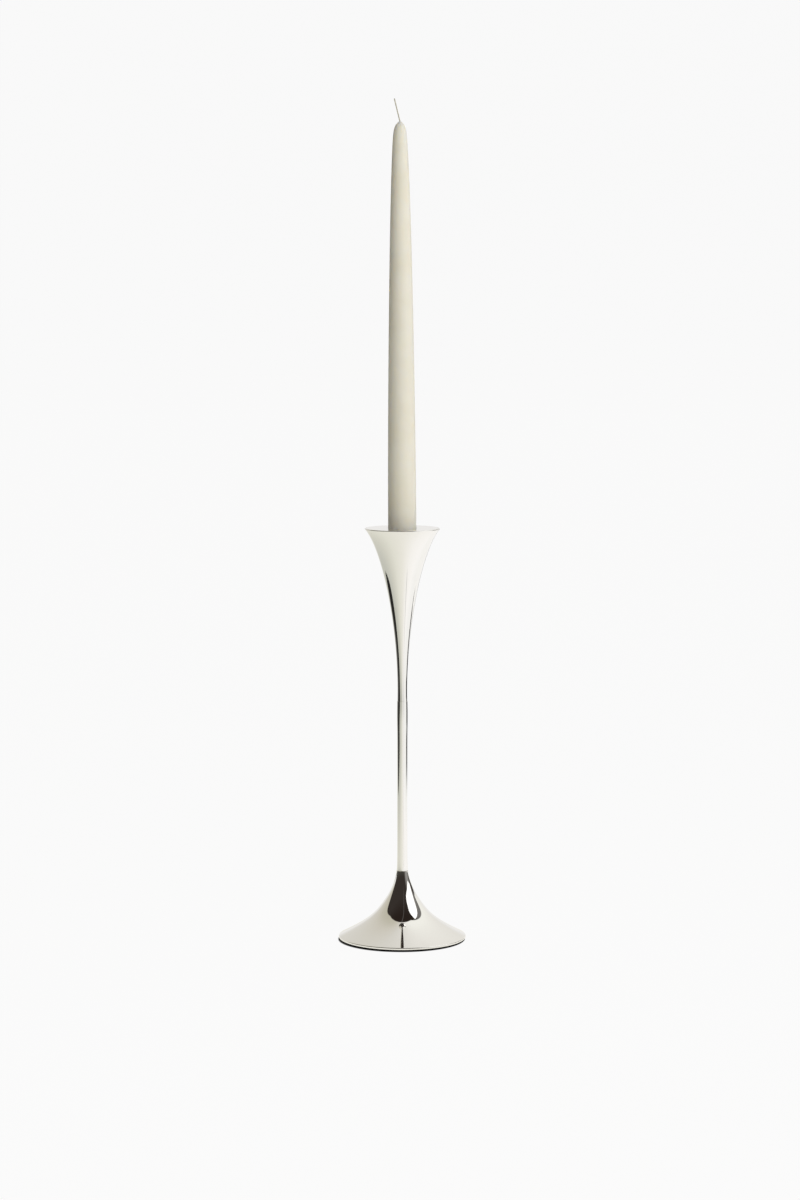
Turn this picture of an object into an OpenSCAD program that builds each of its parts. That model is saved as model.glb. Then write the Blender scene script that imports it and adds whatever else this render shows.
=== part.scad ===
// Tall trumpet candlestick in polished silver plate, with a taper candle.
// Millimetres, +Z up. The origin is the centre of the felt pad's underside.
// The foot, stem and cup are separate shells, clamped together by one rod and nut.

/* [Foot] */
// Radius of the foot at its lip
foot_r = 50; // [48:0.5:54]
// Height of the seam between foot and stem
foot_top = 54.4; // [53:0.2:57]
// Radius of the foot's neck at that seam
foot_neck_r = 4.55; // [4.4:0.05:5]
// Wall of the foot shell
foot_wall = 1.9; // [1.6:0.1:2.2]

/* [Stem] */
// Height of the seam between stem and cup
stem_top = 189; // [180:1:198]
// Radius of the stem where it is straight
stem_r = 3.92; // [3.8:0.02:4.2]
// How much the stem swells just below the cup
stem_swell = 0.2; // [0:0.05:0.4]
// How much the stem flares out at the foot
stem_flare = 0.45; // [0.3:0.05:0.6]

/* [Cup] */
// Height of the cup's flat top
cup_top = 325; // [318:1:332]
// Radius of the cup at its rim
cup_r = 29.25; // [28.5:0.25:31]
// Radius of the cup's neck at the stem
cup_neck_r = 3.81; // [3.7:0.01:4]
// Wall of the cup shell
cup_wall = 1.3; // [1:0.1:1.6]

/* [Candle] */
// Radius of the candle's straight butt
candle_r = 11; // [10.5:0.1:11.5]
// Height of the candle's tip above the table
candle_tip = 638.8; // [600:1:650]
// How far the candle leans in its socket, in degrees
candle_lean = 0.33; // [0:0.01:0.4]
// Depth of the socket
socket_depth = 26; // [22:1:30]

/* [Hardware] */
// Radius of the tie rod, an M4 thread
rod_r = 2; // [1.9:0.05:2]
// Thickness of the felt pad
felt_t = 1.2; // [1:0.1:1.6]

/* [Hidden] */
$fn = 96;

// Colours
silver = [0.84, 0.83, 0.79];
wax = [0.80, 0.78, 0.70];
cotton = [0.72, 0.70, 0.60];
zinc = [0.62, 0.64, 0.66];
iron = [0.22, 0.22, 0.23];
black_felt = [0.05, 0.05, 0.05];

// Foot
foot_lip_under_r = 0.5;
foot_lip_over_r = 0.7;
foot_lip_h = 0.6;
foot_rim_in = 47;
foot_shoulder_z = 36;
foot_bore_r = 2.3;
curve_steps = 44;

// Base plate, held in a rebate of the foot's rim
plate_t = 0.8;
plate_gap = 0.1;
plate_hole_r = 5;
plate_bead_r = 30;
plate_bead_w = 3;
rebate_top = felt_t + plate_t;

// Felt pad, set in from the lip
felt_r = foot_r - 0.5;

// Ballast, a casting that follows the inside of the foot
ballast_gap = 0.5;
ballast_bottom = 2.8;
ballast_bore_r = 2.6;
ballast_well_r = 9;
ballast_well_top = 12;

// Fasteners, stacked down from the ballast's well
thread_gap = 0.02;
thread_pitch = 0.7;
thread_depth = 0.4;
thread_turns = 26;
washer_r = 6;
washer_t = 1;
spring_r = 3.6;
spring_t = 0.9;
spring_cut = 12;
nut_across = 7;
nut_t = 3.2;
washer_z = ballast_well_top - washer_t;
spring_z = washer_z - spring_t;
nut_z = spring_z - nut_t;
rod_bottom = nut_z - 1.7;

// Spigots that centre the stem on its two neighbours
spigot_r = 3;
spigot_h = 4;
spigot_gap = 0.05;
edge_break = 0.25;
seam_edge = 0.12;
stem_swell_z = stem_top - 12;
stem_swell_len = 12;
stem_flare_len = 5.5;
stem_bore_r = 2.3;
stem_steps = 40;

// Cup
cup_lip_r = 0.5;
cup_thread_top = 217;
cup_hollow_bottom = 236;
cup_rebate_r = cup_r - 1.25;
cup_plate_t = 1.5;
cup_curve_steps = 56;
rod_top = cup_thread_top - 2;

// Socket, a drawn liner brazed through the top plate
socket_gap = 0.25;
socket_wall = 0.75;
socket_r = candle_r + socket_gap;
socket_floor = cup_top - socket_depth;
braze_gap = 0.05;

// Candle
candle_butt = socket_floor + 0.2;
candle_shoulder_r = 4.9;
candle_shoulder = candle_tip - 7.3;
candle_pivot = socket_floor + socket_depth / 2;
candle_steps = 40;
tip_steps = 10;
wick_r = 0.65;
wick_gap = 0.02;
wick_bend = 13.5;
wick_end = 18;
wick_end_r = 0.6;

// Point at t on the Bezier curve with these control points
function bezier(p, t) = len(p) == 1 ? p[0] :
    bezier([for (i = [0 : len(p) - 2]) (1 - t) * p[i] + t * p[i + 1]], t);
function curve(p, n) = [for (i = [0 : n]) bezier(p, i / n)];
function arc(c, r, a0, a1, n) =
    [for (i = [0 : n]) c + r * [cos(a0 + (a1 - a0) * i / n), sin(a0 + (a1 - a0) * i / n)]];
function reverse(p) = [for (i = [len(p) - 1 : -1 : 0]) p[i]];
// Line moved to its left by w, for a wall of even thickness
function direction(p, i) = p[min(i + 1, len(p) - 1)] - p[max(i - 1, 0)];
function inset(p, w) =
    [for (i = [0 : len(p) - 1]) let (d = direction(p, i)) p[i] + w * [-d.y, d.x] / norm(d)];
function between(p, low, high) = [for (q = p) if (q.y > low && q.y < high) q];
// Radius of an inset line at height z
function radius_at(p, z) = lookup(z, [for (q = p) [q.y, q.x]]);

// Outer line of the foot, from the top of its lip up to the neck
foot_lip_low = [foot_r - foot_lip_under_r, felt_t + foot_lip_under_r];
foot_lip_high = [foot_r - foot_lip_over_r, foot_lip_low.y + foot_lip_h];
foot_lip_end = 60;
foot_start = foot_lip_high + foot_lip_over_r * [cos(foot_lip_end), sin(foot_lip_end)];
foot_line = curve([
    foot_start, [10.86, 22.39], [26.03, 24.05], [foot_neck_r + 2.94, 29.8],
    [foot_neck_r, foot_top - seam_edge]
], curve_steps);
foot_inside = inset(foot_line, foot_wall);
ballast_line = inset(foot_line, foot_wall + ballast_gap);

// Outer line of the cup, from its neck up to the rim
cup_lip_c = [cup_r - cup_lip_r, cup_top - cup_lip_r];
cup_lip_start = -41;
cup_end = cup_lip_c + cup_lip_r * [cos(cup_lip_start), sin(cup_lip_start)];
cup_line = curve([
    [cup_neck_r, stem_top + seam_edge], [2.42, 248.5], [16.4, 309.2], cup_end
], cup_curve_steps);
cup_inside = inset(cup_line, cup_wall);

// Outer radius of the stem at height z
function stem_radius(z) = stem_r
    + stem_swell * exp(-pow((z - stem_swell_z) / stem_swell_len, 2))
    + stem_flare * exp(-(z - foot_top) / stem_flare_len);
stem_low = foot_top + seam_edge;
stem_high = stem_top - seam_edge;
stem_line = [
    for (i = [0 : stem_steps])
    let (z = stem_low + (stem_high - stem_low) * i / stem_steps) [stem_radius(z), z]
];

module felt_pad() {
    color(black_felt) cylinder(r = felt_r, h = felt_t);
}

module base_plate() {
    rim = foot_rim_in - plate_gap;
    bead_in = plate_bead_r - plate_bead_w;
    bead_out = plate_bead_r + plate_bead_w;
    bead_h = plate_t / 2;
    color(zinc) translate([0, 0, felt_t]) rotate_extrude() polygon([
        [plate_hole_r, 0], [bead_in, 0], [bead_in + 1, bead_h], [bead_out - 1, bead_h], [bead_out, 0],
        [rim, 0], [rim, plate_t], [bead_out - 1, plate_t], [bead_out - 2, plate_t + bead_h / 2],
        [bead_in + 2, plate_t + bead_h / 2], [bead_in + 1, plate_t], [plate_hole_r, plate_t]
    ]);
}

module foot_shell() {
    inside = between(foot_inside, rebate_top + 0.6, foot_shoulder_z - 0.3);
    shoulder_r = radius_at(foot_inside, foot_shoulder_z);
    color(silver) rotate_extrude() polygon(concat(
        [[foot_rim_in, felt_t]],
        arc(foot_lip_low, foot_lip_under_r, -90, 0, 6),
        arc(foot_lip_high, foot_lip_over_r, 0, foot_lip_end, 6),
        foot_line,
        [
            [foot_neck_r - seam_edge, foot_top], [spigot_r, foot_top],
            [spigot_r, foot_top + spigot_h - edge_break],
            [spigot_r - edge_break, foot_top + spigot_h], [foot_bore_r, foot_top + spigot_h],
            [foot_bore_r, foot_shoulder_z], [shoulder_r, foot_shoulder_z]
        ],
        reverse(inside),
        [[inside[0].x + 0.5, rebate_top], [foot_rim_in, rebate_top]]
    ));
}

module ballast_weight() {
    outside = between(ballast_line, ballast_bottom + 0.3, foot_shoulder_z - 0.5);
    top_r = radius_at(ballast_line, foot_shoulder_z);
    color(iron) rotate_extrude() polygon(concat(
        [[ballast_well_r, ballast_bottom], [outside[0].x - 0.4, ballast_bottom]],
        outside,
        [
            [top_r, foot_shoulder_z], [ballast_bore_r, foot_shoulder_z],
            [ballast_bore_r, ballast_well_top], [ballast_well_r, ballast_well_top]
        ]
    ));
}

module flat_washer() {
    color(zinc) translate([0, 0, washer_z]) difference() {
        cylinder(r = washer_r, h = washer_t);
        translate([0, 0, -1]) cylinder(r = rod_r + 0.15, h = washer_t + 2);
    }
}

module spring_washer() {
    color(zinc) translate([0, 0, spring_z]) rotate([0, 0, spring_cut / 2])
        rotate_extrude(angle = 360 - spring_cut)
        translate([rod_r + 0.1, 0]) square([spring_r - rod_r - 0.1, spring_t]);
}

module hex_nut() {
    corner_r = nut_across / sqrt(3);
    chamfer = 0.5;
    color(zinc) translate([0, 0, nut_z]) difference() {
        intersection() {
            cylinder(r = corner_r, h = nut_t, $fn = 6);
            rotate_extrude() polygon([
                [0, 0], [corner_r - chamfer, 0], [corner_r, chamfer / 2],
                [corner_r, nut_t - chamfer / 2], [corner_r - chamfer, nut_t], [0, nut_t]
            ]);
        }
        translate([0, 0, -1]) cylinder(r = rod_r + thread_gap, h = nut_t + 2);
    }
}

// Threaded end of the rod, its turns drawn as rings, from z upwards
function rings(z) = [
    for (i = [0 : thread_turns - 1], k = [0, 1])
    [rod_r - (1 - k) * thread_depth, z + (i + k / 2) * thread_pitch]
];

module tie_rod() {
    low = rod_bottom + edge_break;
    high = rod_top - edge_break - thread_turns * thread_pitch;
    color(zinc) rotate_extrude() polygon(concat(
        [[0, rod_bottom], [rod_r - thread_depth, rod_bottom]],
        rings(low),
        [[rod_r - thread_depth, low + thread_turns * thread_pitch]],
        [[rod_r, low + (thread_turns + 0.5) * thread_pitch], [rod_r, high - thread_pitch]],
        rings(high),
        [[rod_r - thread_depth, rod_top], [0, rod_top]]
    ));
}

module stem_tube() {
    pocket_r = spigot_r + spigot_gap;
    pocket_h = spigot_h + 0.3;
    color(silver) rotate_extrude() polygon(concat(
        [[pocket_r, foot_top], [stem_radius(foot_top) - seam_edge, foot_top]],
        stem_line,
        [
            [stem_radius(stem_top) - seam_edge, stem_top], [pocket_r, stem_top],
            [pocket_r, stem_top - pocket_h], [stem_bore_r, stem_top - pocket_h],
            [stem_bore_r, foot_top + pocket_h], [pocket_r, foot_top + pocket_h]
        ]
    ));
}

module cup_shell() {
    thread_r = rod_r + thread_gap;
    inside = between(cup_inside, cup_hollow_bottom + 4, cup_top - cup_plate_t - 1.6);
    color(silver) rotate_extrude() polygon(concat(
        [
            [thread_r, stem_top - spigot_h], [spigot_r - edge_break, stem_top - spigot_h],
            [spigot_r, stem_top - spigot_h + edge_break], [spigot_r, stem_top],
            [cup_neck_r - seam_edge, stem_top]
        ],
        cup_line,
        arc(cup_lip_c, cup_lip_r, cup_lip_start, 90, 8),
        [
            [cup_rebate_r, cup_top], [cup_rebate_r, cup_top - cup_plate_t],
            [inside[len(inside) - 1].x + 0.4, cup_top - cup_plate_t]
        ],
        reverse(inside),
        [[0, cup_hollow_bottom], [0, cup_thread_top + 1.2], [thread_r, cup_thread_top]]
    ));
}

module cup_top_plate() {
    color(silver) translate([0, 0, cup_top - cup_plate_t]) difference() {
        cylinder(r = cup_rebate_r - braze_gap, h = cup_plate_t);
        translate([0, 0, -1]) cylinder(r = socket_r + socket_wall + braze_gap, h = cup_plate_t + 2);
    }
}

module candle_socket() {
    color(silver) difference() {
        translate([0, 0, socket_floor - socket_wall])
            cylinder(r = socket_r + socket_wall, h = socket_depth + socket_wall);
        translate([0, 0, socket_floor]) cylinder(r = socket_r, h = socket_depth + 1);
    }
}

// Candle and wick stand at a slight lean, turned about the middle of the socket
module leaning() {
    translate([0, 0, candle_pivot]) rotate([0, -candle_lean, 0]) translate([0, 0, -candle_pivot])
        children();
}

module candle() {
    bore_r = wick_r + wick_gap;
    taper = curve([
        [candle_r, cup_top], [candle_r + 0.06, cup_top + 95.5],
        [8.02, candle_shoulder - 16.3], [candle_shoulder_r, candle_shoulder]
    ], candle_steps);
    tip = curve([
        [candle_shoulder_r, candle_shoulder], [candle_shoulder_r - 0.9, candle_shoulder + 4.9],
        [2.2, candle_tip - 1.2], [bore_r, candle_tip]
    ], tip_steps);
    color(wax) leaning() rotate_extrude() polygon(concat(
        [[bore_r, candle_butt], [candle_r - 0.4, candle_butt], [candle_r, candle_butt + 0.4]],
        taper,
        [for (i = [1 : tip_steps]) tip[i]]
    ));
}

module wick() {
    color(cotton) leaning() union() {
        translate([0, 0, candle_butt]) cylinder(r = wick_r, h = candle_tip - candle_butt, $fn = 24);
        translate([0, 0, candle_tip]) sphere(r = wick_r, $fn = 24);
        translate([0, 0, candle_tip]) rotate([0, -wick_bend, 0])
            cylinder(r = wick_end_r, h = wick_end, $fn = 24);
    }
}

felt_pad();
base_plate();
foot_shell();
ballast_weight();
flat_washer();
spring_washer();
hex_nut();
tie_rod();
stem_tube();
cup_shell();
cup_top_plate();
candle_socket();
candle();
wick();
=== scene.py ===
import math
import bmesh
import bpy
import numpy as np
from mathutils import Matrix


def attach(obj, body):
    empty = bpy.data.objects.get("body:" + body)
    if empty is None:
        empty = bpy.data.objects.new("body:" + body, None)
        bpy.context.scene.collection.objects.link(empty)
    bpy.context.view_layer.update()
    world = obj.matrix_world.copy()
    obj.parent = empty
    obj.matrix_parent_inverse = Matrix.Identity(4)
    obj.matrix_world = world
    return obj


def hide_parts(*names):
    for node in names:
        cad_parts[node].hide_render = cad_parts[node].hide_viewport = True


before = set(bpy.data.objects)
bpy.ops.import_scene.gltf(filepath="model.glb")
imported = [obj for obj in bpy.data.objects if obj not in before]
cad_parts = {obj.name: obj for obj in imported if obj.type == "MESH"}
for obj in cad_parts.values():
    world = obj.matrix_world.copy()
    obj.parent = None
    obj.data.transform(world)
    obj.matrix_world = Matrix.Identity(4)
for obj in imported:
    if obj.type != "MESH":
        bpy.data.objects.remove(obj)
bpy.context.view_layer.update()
print("frame loaded:", sorted(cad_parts))

scene = bpy.context.scene
millimetre = 0.001


cameraSettings = {"lens": 95.58, "place": (-0.001826, -2.4755, 0.5262), "pitchDown": 5.94}

cameraData = bpy.data.cameras.new("studioCamera")
cameraData.sensor_width = 36
cameraData.lens = cameraSettings["lens"]
cameraData.clip_end = 60
camera = bpy.data.objects.new("studioCamera", cameraData)
camera.location = cameraSettings["place"]
camera.rotation_euler = (math.radians(90 - cameraSettings["pitchDown"]), 0, 0)
scene.collection.objects.link(camera)
scene.camera = camera
scene.view_settings.view_transform = "Standard"
print("camera placed")


def bezier(controls, steps):
    # Bezier curve: points are blended pairwise by t until one is left
    t = np.linspace(0, 1, steps + 1)[:, None]
    points = [np.array(c, float) for c in controls]
    while len(points) > 1:
        points = [(1 - t) * a + t * b for a, b in zip(points, points[1:])]
    return points[0]


def arcLine(centre, radius, start, end, steps):
    # circle arc: centre plus radius times (cos, sin) of evenly spread angles
    a = np.radians(np.linspace(start, end, steps + 1))
    return np.array(centre) + radius * np.stack([np.cos(a), np.sin(a)], 1)


def insetLine(line, wall):
    # each point moves to its left by the wall, square to the line
    d = np.gradient(line, axis=0)
    d /= np.linalg.norm(d, axis=1)[:, None]
    return line + wall * np.stack([-d[:, 1], d[:, 0]], 1)


def between(line, low, high):
    return line[(line[:, 1] > low) & (line[:, 1] < high)]


def radiusAt(line, z):
    order = np.argsort(line[:, 1])
    return float(np.interp(z, line[order, 1], line[order, 0]))


def softCorners(points, radii, steps=4):
    # each corner p becomes the curve (1-t)^2 a + 2t(1-t) p + t^2 b between points a and b on its two sides
    p = np.array(points, float)
    r = np.broadcast_to(np.array(radii, float), len(p))[:, None]
    back, ahead = np.roll(p, 1, 0) - p, np.roll(p, -1, 0) - p
    backLength = np.linalg.norm(back, axis=1)[:, None]
    aheadLength = np.linalg.norm(ahead, axis=1)[:, None]
    a = (p + back * np.minimum(r / backLength, 0.48))[:, None]
    b = (p + ahead * np.minimum(r / aheadLength, 0.48))[:, None]
    t = np.linspace(0, 1, steps)[None, :, None]
    line = ((1 - t) ** 2 * a + 2 * t * (1 - t) * p[:, None] + t ** 2 * b).reshape(-1, 2)
    moved = np.linalg.norm(line - np.roll(line, 1, 0), axis=1) > 1e-7
    return line[moved]


def gridFaces(rows, columns, closedRows, closedColumns, first=0):
    # one quad for each cell of a grid of points, wrapping round where it is closed
    i = np.arange(rows if closedRows else rows - 1)[:, None]
    j = np.arange(columns if closedColumns else columns - 1)[None, :]
    nextI, nextJ = (i + 1) % rows, (j + 1) % columns
    quads = np.stack([i * columns + j, i * columns + nextJ, nextI * columns + nextJ, nextI * columns + j], -1)
    return quads.reshape(-1, 4) + first


def makePiece(name, points, faces, body, nodes, material, sharpAngle=32):
    # points in millimetres; doubles are merged, which closes the poles, and faces are turned outwards
    mesh = bpy.data.meshes.new(name)
    mesh.from_pydata((np.asarray(points) * millimetre).tolist(), [], np.asarray(faces).tolist())
    work = bmesh.new()
    work.from_mesh(mesh)
    bmesh.ops.remove_doubles(work, verts=work.verts, dist=1e-8)
    bmesh.ops.dissolve_degenerate(work, edges=work.edges, dist=1e-9)
    bmesh.ops.recalc_face_normals(work, faces=work.faces)
    if work.calc_volume(signed=True) < 0:
        bmesh.ops.reverse_faces(work, faces=work.faces)
    work.to_mesh(mesh)
    work.free()
    mesh.shade_smooth()
    mesh.set_sharp_from_angle(angle=math.radians(sharpAngle))
    mesh.materials.append(material)
    piece = bpy.data.objects.new(name, mesh)
    scene.collection.objects.link(piece)
    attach(piece, body)
    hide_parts(*nodes)
    print(name, len(mesh.polygons), "faces")
    return piece


def turned(outline, sides, closed=True, shape=None):
    # surface of revolution: (r cos u, r sin u, z) for outline point (r, z) and angle u
    line = np.asarray(outline, float)
    u = np.arange(sides) * 2 * math.pi / sides
    r, z = line[:, :1], line[:, 1:]
    points = np.stack([r * np.cos(u), r * np.sin(u), z + 0 * u], -1)
    if shape is not None:
        points = shape(points)
    return points.reshape(-1, 3), gridFaces(len(line), sides, closed, True)


def tube(path, radius, sides):
    # circle of the given radius carried along a path, square to it
    along = np.gradient(path, axis=0)
    along /= np.linalg.norm(along, axis=1)[:, None]
    side = np.cross(along, np.array([0.0, 1.0, 0.0]))
    side /= np.linalg.norm(side, axis=1)[:, None]
    other = np.cross(along, side)
    u = (np.arange(sides) * 2 * math.pi / sides)[None, :, None]
    r = np.broadcast_to(np.asarray(radius, float), len(path))[:, None, None]
    return path[:, None] + r * (np.cos(u) * side[:, None] + np.sin(u) * other[:, None])


def smoothNoise(points, scale, seed, octaves=3):
    # sum of sine waves in random directions, each octave finer and weaker
    pick = np.random.default_rng(seed)
    total = np.zeros(points.shape[:-1])
    for octave in range(octaves):
        waves = pick.normal(size=(7, 3)) * 2 ** octave / scale
        shifts = pick.uniform(0, 2 * math.pi, 7)
        total += np.sin(points @ waves.T + shifts).sum(-1) / 7 / 2 ** octave
    return total


class Wire:
    # a shader socket that can stand in sums, so shader maths reads like plain maths
    def __init__(self, book, socket):
        self.book = book
        self.socket = socket

    def maths(self, operation, *values):
        return self.book.add("ShaderNodeMath", {"operation": operation}, dict(enumerate(values)))

    def __add__(self, other):
        return self.maths("ADD", self, other)

    def __radd__(self, other):
        return self.maths("ADD", other, self)

    def __sub__(self, other):
        return self.maths("SUBTRACT", self, other)

    def __rsub__(self, other):
        return self.maths("SUBTRACT", other, self)

    def __mul__(self, other):
        return self.maths("MULTIPLY", self, other)

    def __rmul__(self, other):
        return self.maths("MULTIPLY", other, self)

    def __truediv__(self, other):
        return self.maths("DIVIDE", self, other)

    def size(self):
        return self.maths("ABSOLUTE", self)

    def root(self):
        return self.maths("SQRT", self)

    def atLeast(self, floor):
        return self.maths("MAXIMUM", self, floor)

    def clipped(self):
        return self.maths("MINIMUM", self.atLeast(0.0), 1.0)

    def step(self, low, high):
        # 0 below low, 1 above high, smooth between; low may be the larger
        t = ((self - low) / (high - low)).clipped()
        return t * t * (3 - 2 * t)


class ShaderBook:
    def __init__(self, tree):
        self.tree = tree
        tree.nodes.clear()

    def add(self, kind, settings=None, inputs=None, output=0):
        node = self.tree.nodes.new(kind)
        for key, value in (settings or {}).items():
            if key == "stops":
                ramp = node.color_ramp
                while len(ramp.elements) > 1:
                    ramp.elements.remove(ramp.elements[-1])
                for k, (place, colour) in enumerate(value):
                    stop = ramp.elements[0] if k == 0 else ramp.elements.new(place)
                    stop.position = place
                    stop.color = colour
            else:
                setattr(node, key, value)
        for key, value in (inputs or {}).items():
            if isinstance(value, Wire):
                self.tree.links.new(value.socket, node.inputs[key])
            else:
                node.inputs[key].default_value = value
        return Wire(self, node.outputs[output]) if node.outputs else None

    def mix(self, factor, first, second):
        # colour blend; each side is a wire or a colour
        sides = {0: factor, 6: first, 7: second}
        sides = {k: (*v, 1.0) if isinstance(v, tuple) and len(v) == 3 else v for k, v in sides.items()}
        return self.add("ShaderNodeMix", {"data_type": "RGBA"}, sides, 2)

    def split(self, vector):
        parts = self.add("ShaderNodeSeparateXYZ", {}, {0: vector})
        return [Wire(self, s) for s in parts.socket.node.outputs]

    def place(self, scale=(1, 1, 1)):
        # object coordinates in metres, times a scale
        here = self.add("ShaderNodeTexCoord", {}, {}, 3)
        return self.add("ShaderNodeMapping", {}, {0: here, 3: scale})

    def noise(self, vector, scale, detail=3.0, roughness=0.5):
        inputs = {"Vector": vector, "Scale": scale, "Detail": detail, "Roughness": roughness}
        return self.add("ShaderNodeTexNoise", {}, inputs)

    def bump(self, height, strength, distance):
        return self.add("ShaderNodeBump", {}, {"Height": height, "Strength": strength, "Distance": distance})


def newMaterial(name):
    material = bpy.data.materials.new(name)
    material.use_nodes = True
    return material, ShaderBook(material.node_tree)


def finishMaterial(book, fixed, varying):
    # fixed numbers go straight on the shader's own sockets
    shader = book.add("ShaderNodeBsdfPrincipled", {}, {**fixed, **varying})
    book.add("ShaderNodeOutputMaterial", {}, {0: shader})


def silverMaterial():
    look = {
        "colour": (0.955, 0.950, 0.930), "tarnish": (0.52, 0.47, 0.38), "roughness": 0.035,
        "polishRoughness": 0.03, "wave": 0.000012, "seam": 0.0544,
    }
    material, book = newMaterial("polishedSilver")
    here = book.add("ShaderNodeTexCoord", {}, {}, 3)
    x, y, z = book.split(here)
    ring = (x * x + y * y).root()
    # polishing marks run round the axis, so they vary with height and radius only
    turnedPlace = book.add("ShaderNodeCombineXYZ", {}, {0: ring, 1: 0.0, 2: z})
    marks = book.noise(turnedPlace, 9000.0, 2.0)
    patches = book.noise(here, 60.0, 4.0)
    seamMask = (z - look["seam"]).size().step(0.0005, 0.0001) * 0.4
    colour = book.mix(seamMask, look["colour"], look["tarnish"])
    colour = book.mix(patches.step(0.62, 0.85) * 0.08, colour, look["tarnish"])
    roughness = look["roughness"] + marks * look["polishRoughness"] * patches + seamMask * 0.15
    waviness = book.noise(book.place((1, 1, 0.35)), 55.0, 1.0)
    normal = book.bump(waviness, 1.0, look["wave"])
    finishMaterial(book, {"Metallic": 1.0}, {"Base Color": colour, "Roughness": roughness, "Normal": normal})
    return material


def waxMaterial():
    look = {
        "colour": (0.84, 0.82, 0.735), "warm": (0.80, 0.765, 0.64), "roughness": 0.5,
        "scatter": 0.7, "streak": 0.00004, "dent": 0.00007,
    }
    material, book = newMaterial("dippedWax")
    here = book.place()
    cloud = book.noise(here, 45.0, 3.0)
    streaks = book.noise(book.place((1, 1, 0.06)), 420.0, 3.0)
    dents = book.noise(book.place((1, 1, 0.5)), 110.0, 2.0)
    grains = book.noise(here, 2600.0, 2.0)
    colour = book.mix(cloud.step(0.35, 0.75) * 0.6, look["colour"], look["warm"])
    roughness = look["roughness"] + (grains - 0.5) * 0.12 + (cloud - 0.5) * 0.1
    height = dents * look["dent"] + streaks * look["streak"] + grains * 0.000008
    normal = book.bump(height * 1000.0, 1.0, millimetre)
    finishMaterial(
        book,
        {
            "Subsurface Weight": look["scatter"], "Subsurface Radius": (1.0, 0.92, 0.75),
            "Subsurface Scale": 0.006, "IOR": 1.44, "Specular IOR Level": 0.3,
        },
        {"Base Color": colour, "Roughness": roughness, "Normal": normal},
    )
    return material


def cottonMaterial():
    look = {"colour": (0.60, 0.57, 0.46), "waxed": (0.52, 0.49, 0.38), "roughness": 0.7}
    material, book = newMaterial("waxedCotton")
    here = book.place()
    fibres = book.noise(book.place((1, 1, 0.25)), 9000.0, 3.0)
    soaked = book.noise(here, 700.0, 3.0)
    colour = book.mix(soaked.step(0.35, 0.7), look["colour"], look["waxed"])
    colour = book.mix(fibres.step(0.3, 0.2) * 0.4, colour, (0.36, 0.34, 0.27))
    roughness = look["roughness"] - soaked * 0.25
    normal = book.bump(fibres, 0.7, 0.00012)
    varying = {"Base Color": colour, "Roughness": roughness, "Normal": normal}
    finishMaterial(book, {"Sheen Weight": 0.2}, varying)
    return material


def feltMaterial():
    look = {"colour": (0.003, 0.003, 0.003), "lint": (0.012, 0.012, 0.013), "roughness": 1.0, "shine": 0.08}
    material, book = newMaterial("blackFelt")
    here = book.place()
    fibres = book.noise(here, 1500.0, 5.0, 0.7)
    clumps = book.noise(here, 260.0, 3.0)
    colour = book.mix((fibres * clumps).step(0.28, 0.5), look["colour"], look["lint"])
    normal = book.bump(fibres + clumps * 0.5, 0.8, 0.0003)
    fixed = {"Specular IOR Level": look["shine"], "Roughness": look["roughness"]}
    finishMaterial(book, fixed, {"Base Color": colour, "Normal": normal})
    return material


def steelMaterial():
    look = {"colour": (0.60, 0.61, 0.62), "dull": (0.42, 0.42, 0.41), "roughness": 0.32}
    material, book = newMaterial("zincPlatedSteel")
    here = book.place()
    spangle = book.add("ShaderNodeTexVoronoi", {"feature": "F1"}, {"Vector": here, "Scale": 1400.0})
    cloud = book.noise(here, 160.0, 4.0)
    colour = book.mix(cloud.step(0.4, 0.7), look["colour"], look["dull"])
    roughness = look["roughness"] + (cloud - 0.5) * 0.3 + spangle * 0.08
    normal = book.bump(spangle + cloud, 0.25, 0.0001)
    finishMaterial(book, {"Metallic": 0.9}, {"Base Color": colour, "Roughness": roughness, "Normal": normal})
    return material


def ironMaterial():
    look = {"colour": (0.060, 0.058, 0.057), "rust": (0.16, 0.075, 0.035), "roughness": 0.72}
    material, book = newMaterial("sandCastIron")
    here = book.place()
    sand = book.noise(here, 1100.0, 5.0, 0.65)
    pits = book.add("ShaderNodeTexVoronoi", {"feature": "F1"}, {"Vector": here, "Scale": 420.0})
    cloud = book.noise(here, 90.0, 4.0)
    colour = book.mix(cloud.step(0.55, 0.75) * 0.6, look["colour"], look["rust"])
    roughness = look["roughness"] + (sand - 0.5) * 0.3
    height = sand + pits.step(0.0, 0.35) * 0.5
    normal = book.bump(height, 0.6, 0.0004)
    finishMaterial(book, {"Metallic": 0.6}, {"Base Color": colour, "Roughness": roughness, "Normal": normal})
    return material


silver = silverMaterial()
wax = waxMaterial()
cotton = cottonMaterial()
felt = feltMaterial()
steel = steelMaterial()
iron = ironMaterial()
print("materials made")


feltPad = {"radius": 49.5, "thickness": 1.2, "edgeRound": 0.12, "crown": 0.12}
foot = {
    "radius": 50.0, "low": 1.2, "lipUnder": 0.5, "lipOver": 0.7, "lipHeight": 0.6, "lipEnd": 60,
    "rimInside": 47.0, "rebateTop": 2.0, "wall": 1.9, "curve": [(10.86, 22.39), (26.03, 24.05), (7.49, 29.8)],
    "neck": 4.55, "top": 54.4, "edge": 0.12, "spigot": 3.0, "spigotHeight": 4.0, "bore": 2.3,
    "shoulder": 36.0, "sides": 288,
}


def lipArcs():
    # the rounded lip: a quarter circle below, a short upright band, then part of a circle above
    under, over = foot["lipUnder"], foot["lipOver"]
    lowCentre = (foot["radius"] - under, foot["low"] + under)
    highCentre = (foot["radius"] - over, lowCentre[1] + foot["lipHeight"])
    return arcLine(lowCentre, under, -90, 0, 9), arcLine(highCentre, over, 0, foot["lipEnd"], 10)


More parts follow.
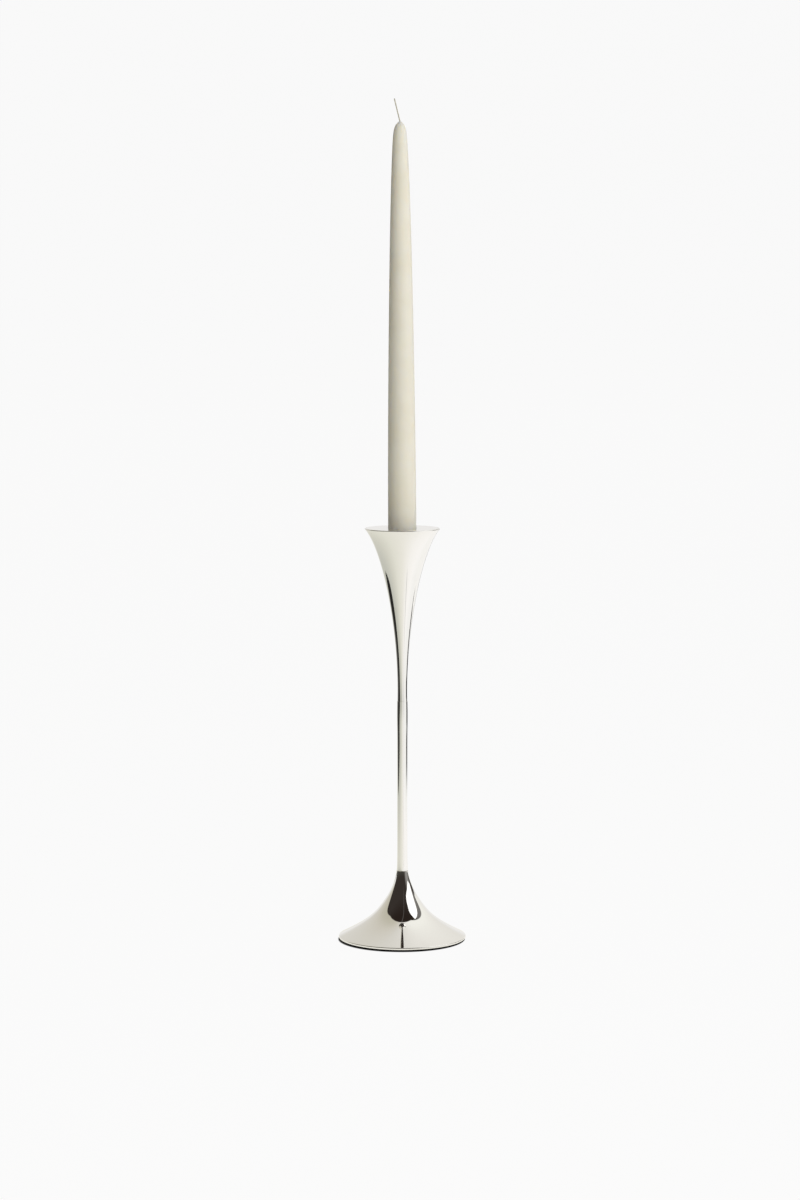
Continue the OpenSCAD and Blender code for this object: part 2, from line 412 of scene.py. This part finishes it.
def footLine(steps=180):
    # outer line of the foot from the lip to the neck
    return bezier([lipArcs()[1][-1], *foot["curve"], (foot["neck"], foot["top"] - foot["edge"])], steps)


def makeFoot():
    line = footLine()
    inside = insetLine(line, foot["wall"])
    shoulderRadius = radiusAt(inside, foot["shoulder"])
    inside = between(inside, foot["rebateTop"] + 0.6, foot["shoulder"] - 0.3)[::3]
    lipUnder, lipOver = lipArcs()
    top, spigot, edge = foot["top"], foot["spigot"], foot["edge"]
    spigotTop = top + foot["spigotHeight"]
    head = softCorners([
        (foot["neck"], top - edge), (foot["neck"] - edge, top), (spigot, top), (spigot, spigotTop),
        (foot["bore"], spigotTop), (foot["bore"], foot["shoulder"]), (shoulderRadius, foot["shoulder"]),
    ], [0, 0.08, 0.08, 0.35, 0.1, 0.3, 0])
    base = softCorners([
        (inside[0, 0] + 0.5, foot["rebateTop"]), (foot["rimInside"], foot["rebateTop"]),
        (foot["rimInside"], foot["low"]), tuple(lipUnder[0]),
    ], [0.2, 0.1, 0.25, 0])[:-1]
    outline = np.concatenate([lipUnder, lipOver, line[1:-1], head, inside[::-1], base])
    points, faces = turned(outline, foot["sides"])
    return makePiece("footShell", points, faces, "stand", ["foot_shell"], silver)


def makeFelt():
    # a flat disc with a soft edge; its top sinks by a crown times the noise of pressed wool
    r, t, e = feltPad["radius"], feltPad["thickness"], feltPad["edgeRound"]
    low = np.stack([np.linspace(0, r - 2 * e, 40), np.zeros(40)], 1)
    rim = softCorners([(r - 2 * e, 0), (r, 0), (r, t), (r - 2 * e, t)], [0, e, e, 0], 6)
    high = np.stack([np.linspace(r - 2 * e, 0, 40), np.full(40, t)], 1)

    def pressed(points):
        lumps = smoothNoise(points, 1.7, 5)
        inner = np.clip((r - 0.05 - np.hypot(points[..., 0], points[..., 1])) / 2, 0, 1)
        points[..., 2] -= np.where(points[..., 2] > t / 2, feltPad["crown"] * (0.5 + 0.5 * lumps) * inner, 0)
        return points

    points, faces = turned(np.concatenate([low, rim[1:-1], high]), 160, False, pressed)
    piece = makePiece("feltPad", points, faces, "stand", ["felt_pad"], felt)
    return piece


makeFoot()


basePlate = {
    "radius": 46.9, "hole": 5.0, "low": 1.2, "thickness": 0.8, "beadCentre": 30.0, "beadWidth": 3.0,
    "beadHeight": 0.4,
}
ballast = {"gap": 0.5, "bottom": 2.8, "well": 9.0, "wellTop": 12.0, "bore": 2.6, "roughness": 0.11}
rod = {
    "radius": 2.0, "pitch": 0.7, "depth": 0.4, "turns": 26, "low": 5.2, "high": 215.0, "edge": 0.25,
    "endInset": 0.1, "sides": 40,
}
nut = {
    "across": 7.0, "low": 6.9, "height": 3.2, "chamfer": 0.5, "chamferSlope": 1.9, "bore": 2.02, "lead": 0.35,
    "leadSlope": 0.8, "threadShare": 0.06, "sides": 96,
}
washer = {"low": 11.0, "thickness": 1.0, "inner": 2.15, "outer": 6.0}
springRing = {"low": 10.1, "thickness": 0.9, "inner": 2.1, "outer": 3.6, "cut": 12.0, "lean": 0.12}


def makeBasePlate():
    # the pressed bead lifts both faces by a raised cosine of the distance from its middle
    hole, rim = basePlate["hole"], basePlate["radius"]
    r = np.concatenate([np.linspace(hole, 26, 24), np.linspace(26.3, 33.7, 40), np.linspace(34, rim, 20)])
    away = np.clip(np.abs(r - basePlate["beadCentre"]) / basePlate["beadWidth"], 0, 1)
    lift = basePlate["beadHeight"] * (0.5 + 0.5 * np.cos(math.pi * away))
    under = np.stack([r, basePlate["low"] + lift], 1)
    over = np.stack([r[::-1], basePlate["low"] + basePlate["thickness"] + lift[::-1] * 0.5], 1)
    points, faces = turned(np.concatenate([under, over]), 160)
    return makePiece("basePlate", points, faces, "stand", ["base_plate"], steel)


def makeBallast():
    outer = insetLine(footLine(), foot["wall"] + ballast["gap"])
    topRadius = radiusAt(outer, foot["shoulder"])
    outer = between(outer, ballast["bottom"] + 0.8, foot["shoulder"] - 0.6)[::2]
    low, top = ballast["bottom"], foot["shoulder"]
    flat = np.stack([np.linspace(ballast["well"] + 0.8, outer[0, 0] - 1.2, 40), np.full(40, low)], 1)
    head = softCorners([
        (topRadius + 0.5, top - 0.4), (topRadius - 0.4, top), (ballast["bore"], top),
        (ballast["bore"], ballast["wellTop"]),
        (ballast["well"], ballast["wellTop"]), (ballast["well"], low), (ballast["well"] + 0.8, low),
    ], [0, 0.4, 0.1, 0.15, 0.8, 0.5, 0], 6)
    outline = np.concatenate([flat, outer, head[1:-1]])

    def cast(points):
        # sand casting: every surface point sinks a little by noise, but not on the machined faces
        away = np.hypot(points[..., 0], points[..., 1])
        rough = (away > ballast["well"] + 1) & (points[..., 2] < top - 1)
        sink = ballast["roughness"] * (0.6 + 0.5 * smoothNoise(points, 1.1, 11)) * rough
        points[..., :2] *= (1 - sink / np.maximum(away, 1))[..., None]
        return points

    points, faces = turned(outline, 200, True, cast)
    return makePiece("ballastWeight", points, faces, "stand", ["ballast_weight"], iron, 45)


def threadDip(z, u, pitch, depth, crest=0.1, flank=0.75):
    # 60 degree thread: depth times a clipped triangle wave of height less turn, so the crest is a helix;
    # crest and flank are their shares of half a pitch
    phase = np.mod(z / pitch - u / (2 * math.pi), 1)
    wave = np.abs(2 * phase - 1)
    return depth * np.clip((wave - crest) / flank, 0, 1)


def makeRod():
    low, high, pitch = rod["low"], rod["high"], rod["pitch"]
    length = rod["turns"] * pitch + rod["edge"]
    ends = np.arange(0, length, pitch / 8)
    z = np.concatenate([low + ends, np.linspace(low + length, high - length, 30), high - ends[::-1]])
    u = np.arange(rod["sides"]) * 2 * math.pi / rod["sides"]
    zz, uu = np.meshgrid(z, u, indexing="ij")
    fade = np.clip(np.maximum(low + length - zz, zz - high + length) / pitch, 0, 1)
    r = rod["radius"] - threadDip(zz, uu, pitch, rod["depth"]) * fade
    # both ends are chamfered at 45 degrees, from a little inside the thread's root
    nearEnd = np.minimum(zz - low, high - zz)
    r = np.minimum(r, rod["radius"] - rod["depth"] - rod["endInset"] + nearEnd)
    caps = [np.full(rod["sides"], low)[None], zz, np.full(rod["sides"], high)[None]]
    zz = np.concatenate(caps)
    r = np.concatenate([np.zeros((1, rod["sides"])), r, np.zeros((1, rod["sides"]))])
    points = np.stack([r * np.cos(u), r * np.sin(u), zz], -1)
    faces = gridFaces(len(zz), rod["sides"], False, True)
    return makePiece("tieRod", points.reshape(-1, 3), faces, "stand", ["tie_rod"], steel, 50)


def makeNut():
    # outside: the smaller of a hexagon's radius and two chamfer cones; inside: a shallow thread with a
    # countersunk lead at each end
    sides, low, height = nut["sides"], nut["low"], nut["height"]
    u = np.arange(sides) * 2 * math.pi / sides
    hexRadius = nut["across"] / 2 / np.cos(np.mod(u, math.pi / 3) - math.pi / 6)
    corner = nut["across"] / math.sqrt(3)
    z = np.concatenate([
        np.linspace(0, 0.35, 8), np.linspace(0.45, height - 0.45, 6), np.linspace(height - 0.35, height, 8),
    ])
    away = np.minimum(z, height - z)[:, None]
    outside = np.minimum(hexRadius[None], corner - nut["chamfer"] + away * nut["chamferSlope"])
    zIn = np.linspace(height, 0, 37)
    dip = threadDip(zIn[:, None] + low, u[None], rod["pitch"], rod["depth"])
    lead = np.clip(nut["lead"] - np.minimum(zIn, height - zIn), 0, 1)[:, None] * nut["leadSlope"]
    inside = nut["bore"] + lead + (rod["depth"] - dip) * nut["threadShare"]
    r = np.concatenate([outside, inside])
    zz = np.concatenate([z, zIn])[:, None] + low + 0 * r
    points = np.stack([r * np.cos(u), r * np.sin(u), zz], -1)
    faces = gridFaces(len(r), sides, True, True)
    return makePiece("hexNut", points.reshape(-1, 3), faces, "stand", ["hex_nut"], steel, 25)


def makeWasher():
    w = washer
    outline = softCorners([
        (w["inner"], w["low"]), (w["outer"], w["low"]), (w["outer"], w["low"] + w["thickness"]),
        (w["inner"], w["low"] + w["thickness"]),
    ], [0.1, 0.25, 0.12, 0.1], 5)
    points, faces = turned(outline, 96)
    return makePiece("flatWasher", points, faces, "stand", ["flat_washer"], steel)


def makeSpringRing():
    # a rounded rectangle swept most of the way round; its ends lean, as a sheared split does
    s = springRing
    outline = softCorners([
        (s["inner"], s["low"]), (s["outer"], s["low"]), (s["outer"], s["low"] + s["thickness"]),
        (s["inner"], s["low"] + s["thickness"]),
    ], 0.15, 5)
    half = math.radians(s["cut"] / 2)
    u = np.linspace(half, 2 * math.pi - half, 90)[:, None]
    lean = (outline[None, :, 1] - s["low"] - s["thickness"] / 2) * s["lean"]
    u = u + lean * np.cos(u / 2)
    count = len(outline)
    ring = np.stack([outline[:, 0] * np.cos(u), outline[:, 0] * np.sin(u), outline[:, 1] + 0 * u], -1)
    ends = ring.mean(1)
    ring = np.concatenate([np.repeat(ends[:1, None], count, 1), ring, np.repeat(ends[-1:, None], count, 1)])
    points, faces = ring.reshape(-1, 3), gridFaces(len(ring), count, False, True)
    return makePiece("springWasher", points, faces, "stand", ["spring_washer"], steel)


makeBasePlate()
makeFelt()
makeBallast()
makeRod()
makeNut()
makeWasher()
makeSpringRing()


stem = {
    "low": 54.4, "high": 189.0, "radius": 3.92, "swell": 0.2, "swellHeight": 177.0, "swellLength": 12.0,
    "flare": 0.45, "flareLength": 5.5, "edge": 0.12, "highEdge": 0.03, "pocket": 3.05, "pocketDepth": 4.3,
    "bore": 2.3, "sides": 144,
}


def stemRadius(z):
    # straight tube, plus a bell-shaped swell under the cup, plus a flare that fades upward from the foot
    swell = stem["swell"] * np.exp(-((z - stem["swellHeight"]) / stem["swellLength"]) ** 2)
    return stem["radius"] + swell + stem["flare"] * np.exp(-(z - stem["low"]) / stem["flareLength"])


def makeStem():
    low, high, pocket, bore = stem["low"], stem["high"], stem["pocket"], stem["bore"]
    lowPocket, highPocket = low + stem["pocketDepth"], high - stem["pocketDepth"]
    z = np.linspace(low + stem["edge"], high - stem["highEdge"], 150)
    line = np.stack([stemRadius(z), z], 1)
    under = softCorners([
        (pocket, low + 2), (pocket, low), (stemRadius(low) - stem["edge"], low), tuple(line[0]),
    ], [0, 0.1, 0.08, 0])
    over = softCorners([
        tuple(line[-1]), (stemRadius(high) - stem["highEdge"], high), (pocket, high), (pocket, highPocket),
        (bore, highPocket), (bore, lowPocket), (pocket, lowPocket),
    ], [0, 0.02, 0.1, 0.1, 0.2, 0.2, 0.1])
    points, faces = turned(np.concatenate([under, line[1:-1], over]), stem["sides"])
    return makePiece("stemTube", points, faces, "stand", ["stem_tube"], silver)


makeStem()


cup = {
    "top": 325.0, "radius": 29.25, "lip": 0.5, "lipStart": -41, "low": 189.0, "neck": 3.81, "edge": 0.03,
    "curve": [(2.42, 248.5), (16.4, 309.2)], "wall": 1.3, "rebate": 28.0, "plate": 1.5, "spigot": 3.0,
    "spigotHeight": 4.0, "thread": 2.02, "threadTop": 217.0, "hollow": 236.0, "sides": 288,
}
socket = {"inner": 11.25, "wall": 0.75, "depth": 26.0, "gap": 0.05}


def makeCup():
    c = cup
    lipCentre = (c["radius"] - c["lip"], c["top"] - c["lip"])
    lip = arcLine(lipCentre, c["lip"], c["lipStart"], 90, 14)
    line = bezier([(c["neck"], c["low"] + c["edge"]), *c["curve"], lip[0]], 200)
    inside = between(insetLine(line, c["wall"]), c["hollow"] + 4, c["top"] - c["plate"] - 1.6)[::4]
    low, spigotLow = c["low"], c["low"] - c["spigotHeight"]
    neck = softCorners([
        (c["thread"], low + 4), (c["thread"], spigotLow), (c["spigot"], spigotLow), (c["spigot"], low),
        (c["neck"] - c["edge"], low), tuple(line[0]),
    ], [0, 0.15, 0.35, 0.08, 0.02, 0])
    seat = softCorners([
        tuple(lip[-1]), (c["rebate"], c["top"]), (c["rebate"], c["top"] - c["plate"]),
        (inside[-1, 0] + 0.4, c["top"] - c["plate"]), tuple(inside[-1]),
    ], [0, 0.05, 0.05, 0.3, 0])
    middle = np.array([(0, c["hollow"]), (0, c["threadTop"] + 1.2), (c["thread"], c["threadTop"])])
    outline = np.concatenate([neck, line[1:-1], lip, seat[1:], inside[-2::-1], middle])
    points, faces = turned(outline, c["sides"])
    return makePiece("cupShell", points, faces, "stand", ["cup_shell"], silver)


def makeCupTop():
    c = cup
    low, top = c["top"] - c["plate"], c["top"]
    inner, outer = socket["inner"] + socket["wall"] + socket["gap"], c["rebate"] - socket["gap"]
    first, last = inner + 0.6, outer - 0.6
    rings = np.linspace(first, last, 24)
    under = softCorners([(first, low), (inner, low), (inner, top), (first, top)], [0, 0.12, 0.08, 0], 5)
    rim = softCorners([(last, top), (outer, top), (outer, low), (last, low)], [0, 0.06, 0.12, 0], 5)
    over = np.stack([rings[1:-1], np.full(22, top)], 1)
    below = np.stack([rings[-2:0:-1], np.full(22, low)], 1)
    points, faces = turned(np.concatenate([under, over, rim, below]), c["sides"])
    return makePiece("cupTopPlate", points, faces, "stand", ["cup_top_plate"], silver)


def makeSocket():
    top, inner, outer = cup["top"], socket["inner"], socket["inner"] + socket["wall"]
    floor = top - socket["depth"]
    under = floor - socket["wall"]
    outline = softCorners([
        (0, under), (outer, under), (outer, top), (inner, top), (inner, floor), (0, floor),
    ], [0, 0.7, 0.12, 0.25, 0.3, 0], 8)
    points, faces = turned(outline, 144, False)
    return makePiece("candleSocket", points, faces, "stand", ["candle_socket"], silver)


makeCup()
makeCupTop()
makeSocket()


candle = {
    "radius": 11.0, "butt": 299.2, "tip": 638.8, "curve": [(11.06, 420.5), (8.02, 615.2), (4.9, 631.5)],
    "tipCurve": [(4.0, 636.4), (2.2, 637.6)], "bore": 0.67, "lean": 0.33, "pivot": 312.0, "sides": 128,
    "ripple": 0.05,
}
wick = {
    "radius": 0.3, "spread": 0.26, "depthShare": 0.75, "pitch": 3.4, "bend": 13.5, "bendLength": 1.2,
    "stub": 18.0, "sides": 7, "strands": 3,
}


def leaned(points):
    # turned about the pivot, so the tip moves towards -X
    a = math.radians(candle["lean"])
    x, z = points[..., 0], points[..., 2] - candle["pivot"]
    leanedX = x * math.cos(a) - z * math.sin(a)
    leanedZ = candle["pivot"] + x * math.sin(a) + z * math.cos(a)
    return np.stack([leanedX, points[..., 1], leanedZ], -1)


def makeCandle():
    c = candle
    body = bezier([(c["radius"], cup["top"]), *c["curve"]], 200)
    tip = bezier([tuple(body[-1]), *c["tipCurve"], (c["bore"], c["tip"])], 26)
    low, bore, radius = c["butt"], c["bore"], c["radius"]
    butt = softCorners([
        (bore, low + 20), (bore, low), (radius, low), (radius, low + 3),
    ], [0, 0.15, 0.6, 0], 6)
    straight = np.stack([np.full(8, radius), np.linspace(low + 6, cup["top"] - 3, 8)], 1)

    def dipped(points):
        # hand-dipped skin: the radius sinks by noise that is long up the candle and short round it
        squeezed = points * np.array([1, 1, 0.12])
        away = np.hypot(points[..., 0], points[..., 1])
        sink = c["ripple"] * (0.5 + 0.5 * smoothNoise(squeezed, 4.5, 21)) * (away > 3)
        points[..., :2] *= (1 - sink / np.maximum(away, 1))[..., None]
        return leaned(points)

    points, faces = turned(np.concatenate([butt, straight, body, tip[1:]]), c["sides"], True, dipped)
    return makePiece("taperCandle", points, faces, "loose_candle", ["candle"], wax, 60)


def makeWick():
    # three-strand plait: each strand swings as (sin t, sin 2t / 2) and is a third of a turn behind the last
    w = wick
    core = candle["tip"] - candle["butt"]
    length = core + w["stub"]
    s = np.arange(0, length, w["pitch"] / 12)
    a = math.radians(w["bend"]) * np.clip((s - core) / w["bendLength"], 0, 1)
    inner = np.minimum(s, core)
    outer = s - inner
    centre = np.stack([-outer * np.sin(a), 0 * s, candle["butt"] + inner + outer * np.cos(a)], 1)
    allPoints, allFaces, first = [], [], 0
    for strand in range(w["strands"]):
        t = 2 * math.pi * (s / w["pitch"] + strand / w["strands"])
        sway, depth = w["spread"] * np.sin(t), w["spread"] * w["depthShare"] * np.sin(2 * t)
        path = centre + np.stack([depth * np.cos(a), sway, depth * np.sin(a)], 1)
        thick = w["radius"] * np.where((s < 0.01) | (s > length - w["pitch"] / 11), 0.0, 1.0)
        rings = tube(path, thick, w["sides"])
        allPoints.append(rings.reshape(-1, 3))
        allFaces.append(gridFaces(len(s), w["sides"], False, True, first))
        first += len(s) * w["sides"]
    points = leaned(np.concatenate(allPoints))
    faces = np.concatenate(allFaces)
    return makePiece("cottonWick", points, faces, "loose_candle", ["wick"], cotton, 80)


makeCandle()
makeWick()


studio = {
    "paper": 0.94, "paperAlbedo": 0.03, "paperReach": 9, "paperCurve": 3, "paperCeiling": 15,
    "contact": (0.0008, 0.0018), "contactEdge": (0.0491, 0.0503), "contactLight": 0.03,
    "room": (0.037, 0.030, 0.026), "roomTop": (0.022, 0.015, 0.012), "roomLow": (0.058, 0.055, 0.046),
    "belowTable": (0.022, 0.021, 0.019), "belowWall": (0.17, 0.165, 0.155), "wallFoot": (0.86, 0.85, 0.84),
    "groundFar": (0.80, 0.79, 0.76), "groundNear": (0.95, 0.935, 0.91), "bandDepth": 0.93,
    "beam": 0.07, "beamPlane": (1.0, 0.294, 0.036), "glow": 0.26, "glowColour": (1.0, 0.97, 0.93),
    "lowGlowAim": (0.979, -0.17, 0.1), "highGlowAim": (0.74, 0.2, 0.643), "highGlowShare": 0.55,
    "wallEdges": [
        ((0.52, 1, 0.345), 0.012), ((0, 1, 0.035), 0.012), ((-0.745, 1, 0.27), 0.015),
        ((-0.516, 0.272, 0.811), 0.03),
    ],
    "wallStops": [
        (0.0, (0.50, 0.475, 0.385, 1)), (0.16, (0.62, 0.59, 0.52, 1)), (0.32, (0.68, 0.66, 0.61, 1)),
        (0.5, (0.735, 0.715, 0.67, 1)), (0.72, (0.82, 0.80, 0.755, 1)), (0.92, (0.91, 0.90, 0.85, 1)),
    ],
    "tableStops": [
        (0.0, (0.54, 0.54, 0.47, 1)), (0.08, (0.56, 0.56, 0.50, 1)), (0.2, (0.66, 0.65, 0.573, 1)),
        (0.33, (0.765, 0.754, 0.671, 1)), (0.5, (0.845, 0.824, 0.754, 1)), (0.67, (0.948, 0.926, 0.894, 1)),
        (0.8, (0.985, 0.965, 0.945, 1)), (0.95, (0.93, 0.92, 0.90, 1)),
    ],
    "cardHeight": -0.0004, "tableHalf": 0.75, "farFade": 0.7, "nearFade": 0.17,
    "shadeAim": (0.515, -0.857), "shadeDepth": 0.32,
    "table": [
        (4.0, -3.0), (4.0, 0.7), (0.57, 0.1), (0.3, 0.5), (0.0, 0.6), (0.0, 4.0), (-1.5, 4.0), (-0.95, 1.9),
        (-0.80, 1.1), (-0.68, 0.42), (-0.68, 0.12), (-0.79, -0.12), (-0.90, -0.42), (-1.4, -1.0),
        (-3.0, -2.6), (-3.0, -3.0),
    ],
    "wedge": [(0.777, 0.279), (0.86, 0.37), (4.32, 1.165), (1.06, 3.955), (0.808, 0.406), (0.732, 0.318)],
    "window": [
        (95, 63), (75, 63), (53, 60), (39, 52), (38, 46), (46, 39), (67, 25), (84, 14.5), (109, 13.5),
        (107, 21), (102, 31), (98, 45),
    ],
    "windowAway": 1.7, "windowColour": (1.0, 0.99, 0.975), "windowStrength": 1.25,
    "boxAim": (0, 0, 0.45), "boxColour": (1.0, 0.985, 0.955),
    "softBoxes": {
        "rightBox": {"centre": (2.2, -1.5, 1.1), "half": 1.3, "strength": 1.5},
        "frontBox": {"centre": (0.15, -1.35, 1.3), "half": 0.5, "strength": 3.3},
    },
}


def stageMesh(name, points, faces, material, *seenBy):
    # a mesh of the stage, which only the named kinds of ray meet
    mesh = bpy.data.meshes.new(name)
    mesh.from_pydata(np.asarray(points).tolist(), [], faces)
    mesh.materials.append(material)
    thing = bpy.data.objects.new(name, mesh)
    scene.collection.objects.link(thing)
    for ray in ("camera", "diffuse", "glossy", "transmission", "volume_scatter", "shadow"):
        setattr(thing, "visible_" + ray, ray in seenBy)


def flatCard(name, corners, material, *seenBy):
    # a level polygon just under the pad, facing up
    points = [(x, y, studio["cardHeight"]) for x, y in corners]
    stageMesh(name, points, [list(range(len(points)))], material, *seenBy)


def makePaper():
    # floor, wall and ceiling in one turned sheet of plain pale paper: a disc, a quarter curve up and one in
    reach, curve, ceiling = studio["paperReach"], studio["paperCurve"], studio["paperCeiling"]
    low = arcLine((reach, curve), curve, -90, 0, 24)
    high = arcLine((reach, ceiling - curve), curve, 0, 90, 24)
    points, faces = turned(np.concatenate([[(0, 0), (4, 0)], low, high, [(0, ceiling)]]), 96, False)
    material, book = newMaterial("palePaper")
    # a contact shadow: a disc a little to the left and front of the pad, soft at its edge
    x, y = book.split(book.add("ShaderNodeTexCoord", {}, {}, 3))[:2]
    x, y = x + studio["contact"][0], y + studio["contact"][1]
    away = (x * x + y * y).root()
    lit = away.step(*studio["contactEdge"]) * (1 - studio["contactLight"]) + studio["contactLight"]
    glow = book.add("ShaderNodeEmission", {}, {0: (studio["paper"],) * 3 + (1.0,), 1: lit})
    matte = book.add("ShaderNodeBsdfDiffuse", {}, {0: (studio["paperAlbedo"],) * 3 + (1.0,)})
    both = book.add("ShaderNodeAddShader", {}, {0: glow, 1: matte})
    clear = book.add("ShaderNodeBsdfTransparent")
    behind = book.add("ShaderNodeNewGeometry", {}, {}, 6)
    shown = book.add("ShaderNodeMixShader", {}, {0: behind, 1: both, 2: clear})
    book.add("ShaderNodeOutputMaterial", {}, {0: shown})
    stageMesh("palePaper", points, faces[:, ::-1].tolist(), material, "camera")


def glowMaterial(name, colour, strength):
    material, book = newMaterial(name)
    glow = book.add("ShaderNodeEmission", {}, {0: (*colour, 1.0), 1: strength})
    book.add("ShaderNodeOutputMaterial", {}, {0: glow})
    return material


def makeTableCard():
    # what the silver sees of the table: brighter towards the window on the right, with a slanting left edge
    # and the far right corner cut away
    material, book = newMaterial("tableCard")
    x, y = book.split(book.add("ShaderNodeTexCoord", {}, {}, 3))[:2]
    across = (x + studio["tableHalf"]) / (2 * studio["tableHalf"])
    colour = book.add("ShaderNodeValToRGB", {"stops": studio["tableStops"]}, {0: across})
    colour = book.mix(y.step(0.9, 1.7) * studio["farFade"], colour, studio["groundFar"])
    # a soft shadow line that runs to the front right and widens as it goes
    aimX, aimY = studio["shadeAim"]
    offLine = (x * -aimY + y * aimX).size() / (x * aimX + y * aimY).atLeast(0.05)
    shade = offLine.step(0.06, 0.02) * y.step(-0.34, -0.42)
    colour = book.mix(shade * studio["shadeDepth"], colour, studio["belowTable"])
    glow = book.add("ShaderNodeEmission", {}, {0: colour, 1: 1 - y.step(-0.5, -1.9) * studio["nearFade"]})
    book.add("ShaderNodeOutputMaterial", {}, {0: glow})
    flatCard("tableCard", studio["table"], material, "glossy", "diffuse", "shadow")
    # a dark wedge beyond the cut corner gives the cup its thin dark line on the right
    flatCard("darkWedge", studio["wedge"], glowMaterial("darkWedge", studio["belowTable"], 1.0), "glossy")


def makeWindow():
    # a window to the right that only the silver sees; its corners are directions from the foot, and its
    # faces meet at their middle
    a, e = np.radians(np.array(studio["window"]).T)
    points = studio["windowAway"] * np.stack([np.sin(a) * np.cos(e), -np.cos(a) * np.cos(e), np.sin(e)], 1)
    count = len(points)
    faces = [(count, k, (k + 1) % count) for k in range(count)]
    material = glowMaterial("windowGlow", studio["windowColour"], studio["windowStrength"])
    stageMesh("windowGlow", np.concatenate([points, [points.mean(0)]]), faces, material, "glossy")


def makeSoftBoxes():
    # big soft boxes light the wax and cotton from the right and the front; the silver doesn't see them
    for name, box in studio["softBoxes"].items():
        centre = np.array(box["centre"])
        aim = centre - np.array(studio["boxAim"])
        side = np.cross([0.0, 0.0, 1.0], aim)
        side = side / np.linalg.norm(side) * box["half"]
        up = np.cross(aim, side)
        up = up / np.linalg.norm(up) * box["half"]
        points = [centre - side - up, centre + side - up, centre + side + up, centre - side + up]
        material = glowMaterial(name, studio["boxColour"], box["strength"])
        stageMesh(name, points, [(0, 1, 2, 3)], material, "diffuse")


def makeWorld():
    # a dark room in front; a pale wall hangs behind and overhead. Each of its slanting edges is a plane
    # through the foot, given by the weights of x, y and z and by how soft the edge is
    world = bpy.data.worlds.new("studioWorld")
    world.use_nodes = True
    scene.world = world
    book = ShaderBook(world.node_tree)
    x, y, z = book.split(book.add("ShaderNodeTexCoord", {}, {}, 0))

    def weighed(weights):
        return x * weights[0] + y * weights[1] + z * weights[2]

    wall = 1.0
    for weights, soft in studio["wallEdges"]:
        wall = weighed(np.array(weights) / np.linalg.norm(weights)).step(-soft, soft) * wall
    flat = (x * x + y * y + 0.02).root()
    wallColour = book.add("ShaderNodeValToRGB", {"stops": studio["wallStops"]}, {0: x / flat * 0.5 + 0.5})
    wallColour = book.mix(z.step(0.3, 0.02), wallColour, studio["wallFoot"])
    room = book.mix(z.step(0.25, 0.0), studio["room"], studio["roomLow"])
    room = book.mix(z.step(0.75, 0.97), room, studio["roomTop"])
    # glows under the window and beyond its right side, and a thin pale beam down the front
    lowGlow = weighed(studio["lowGlowAim"]).step(0.72, 1.0)
    highGlow = weighed(studio["highGlowAim"]).step(0.88, 1.0)
    glow = lowGlow + highGlow * studio["highGlowShare"]
    beam = weighed(studio["beamPlane"]).size().step(0.022, 0.006) * z.step(0.45, 0.7) * y.step(0.0, -0.06)
    room = book.mix(glow * studio["glow"] + beam * studio["beam"], room, studio["glowColour"])
    above = book.mix(wall, room, wallColour)
    below = book.mix(y.step(0.25, 0.42) * z.step(-0.25, -0.2), studio["belowTable"], studio["belowWall"])
    # past the table's far right corner: pale ground with one dark band just below the horizon
    ground = book.mix(z.step(-0.12, -0.17), studio["groundFar"], studio["groundNear"])
    band = z.step(-0.108, -0.12) * z.step(-0.166, -0.152)
    ground = book.mix(band * studio["bandDepth"], ground, studio["belowTable"])
    below = book.mix(x.step(-0.01, 0.02), below, ground)
    colour = book.mix(z.step(-0.005, -0.015), above, below)
    sky = book.add("ShaderNodeBackground", {}, {0: colour, 1: 1.0})
    book.add("ShaderNodeOutputWorld", {}, {0: sky})


makePaper()
makeTableCard()
makeWindow()
makeSoftBoxes()
makeWorld()
print("studio made")
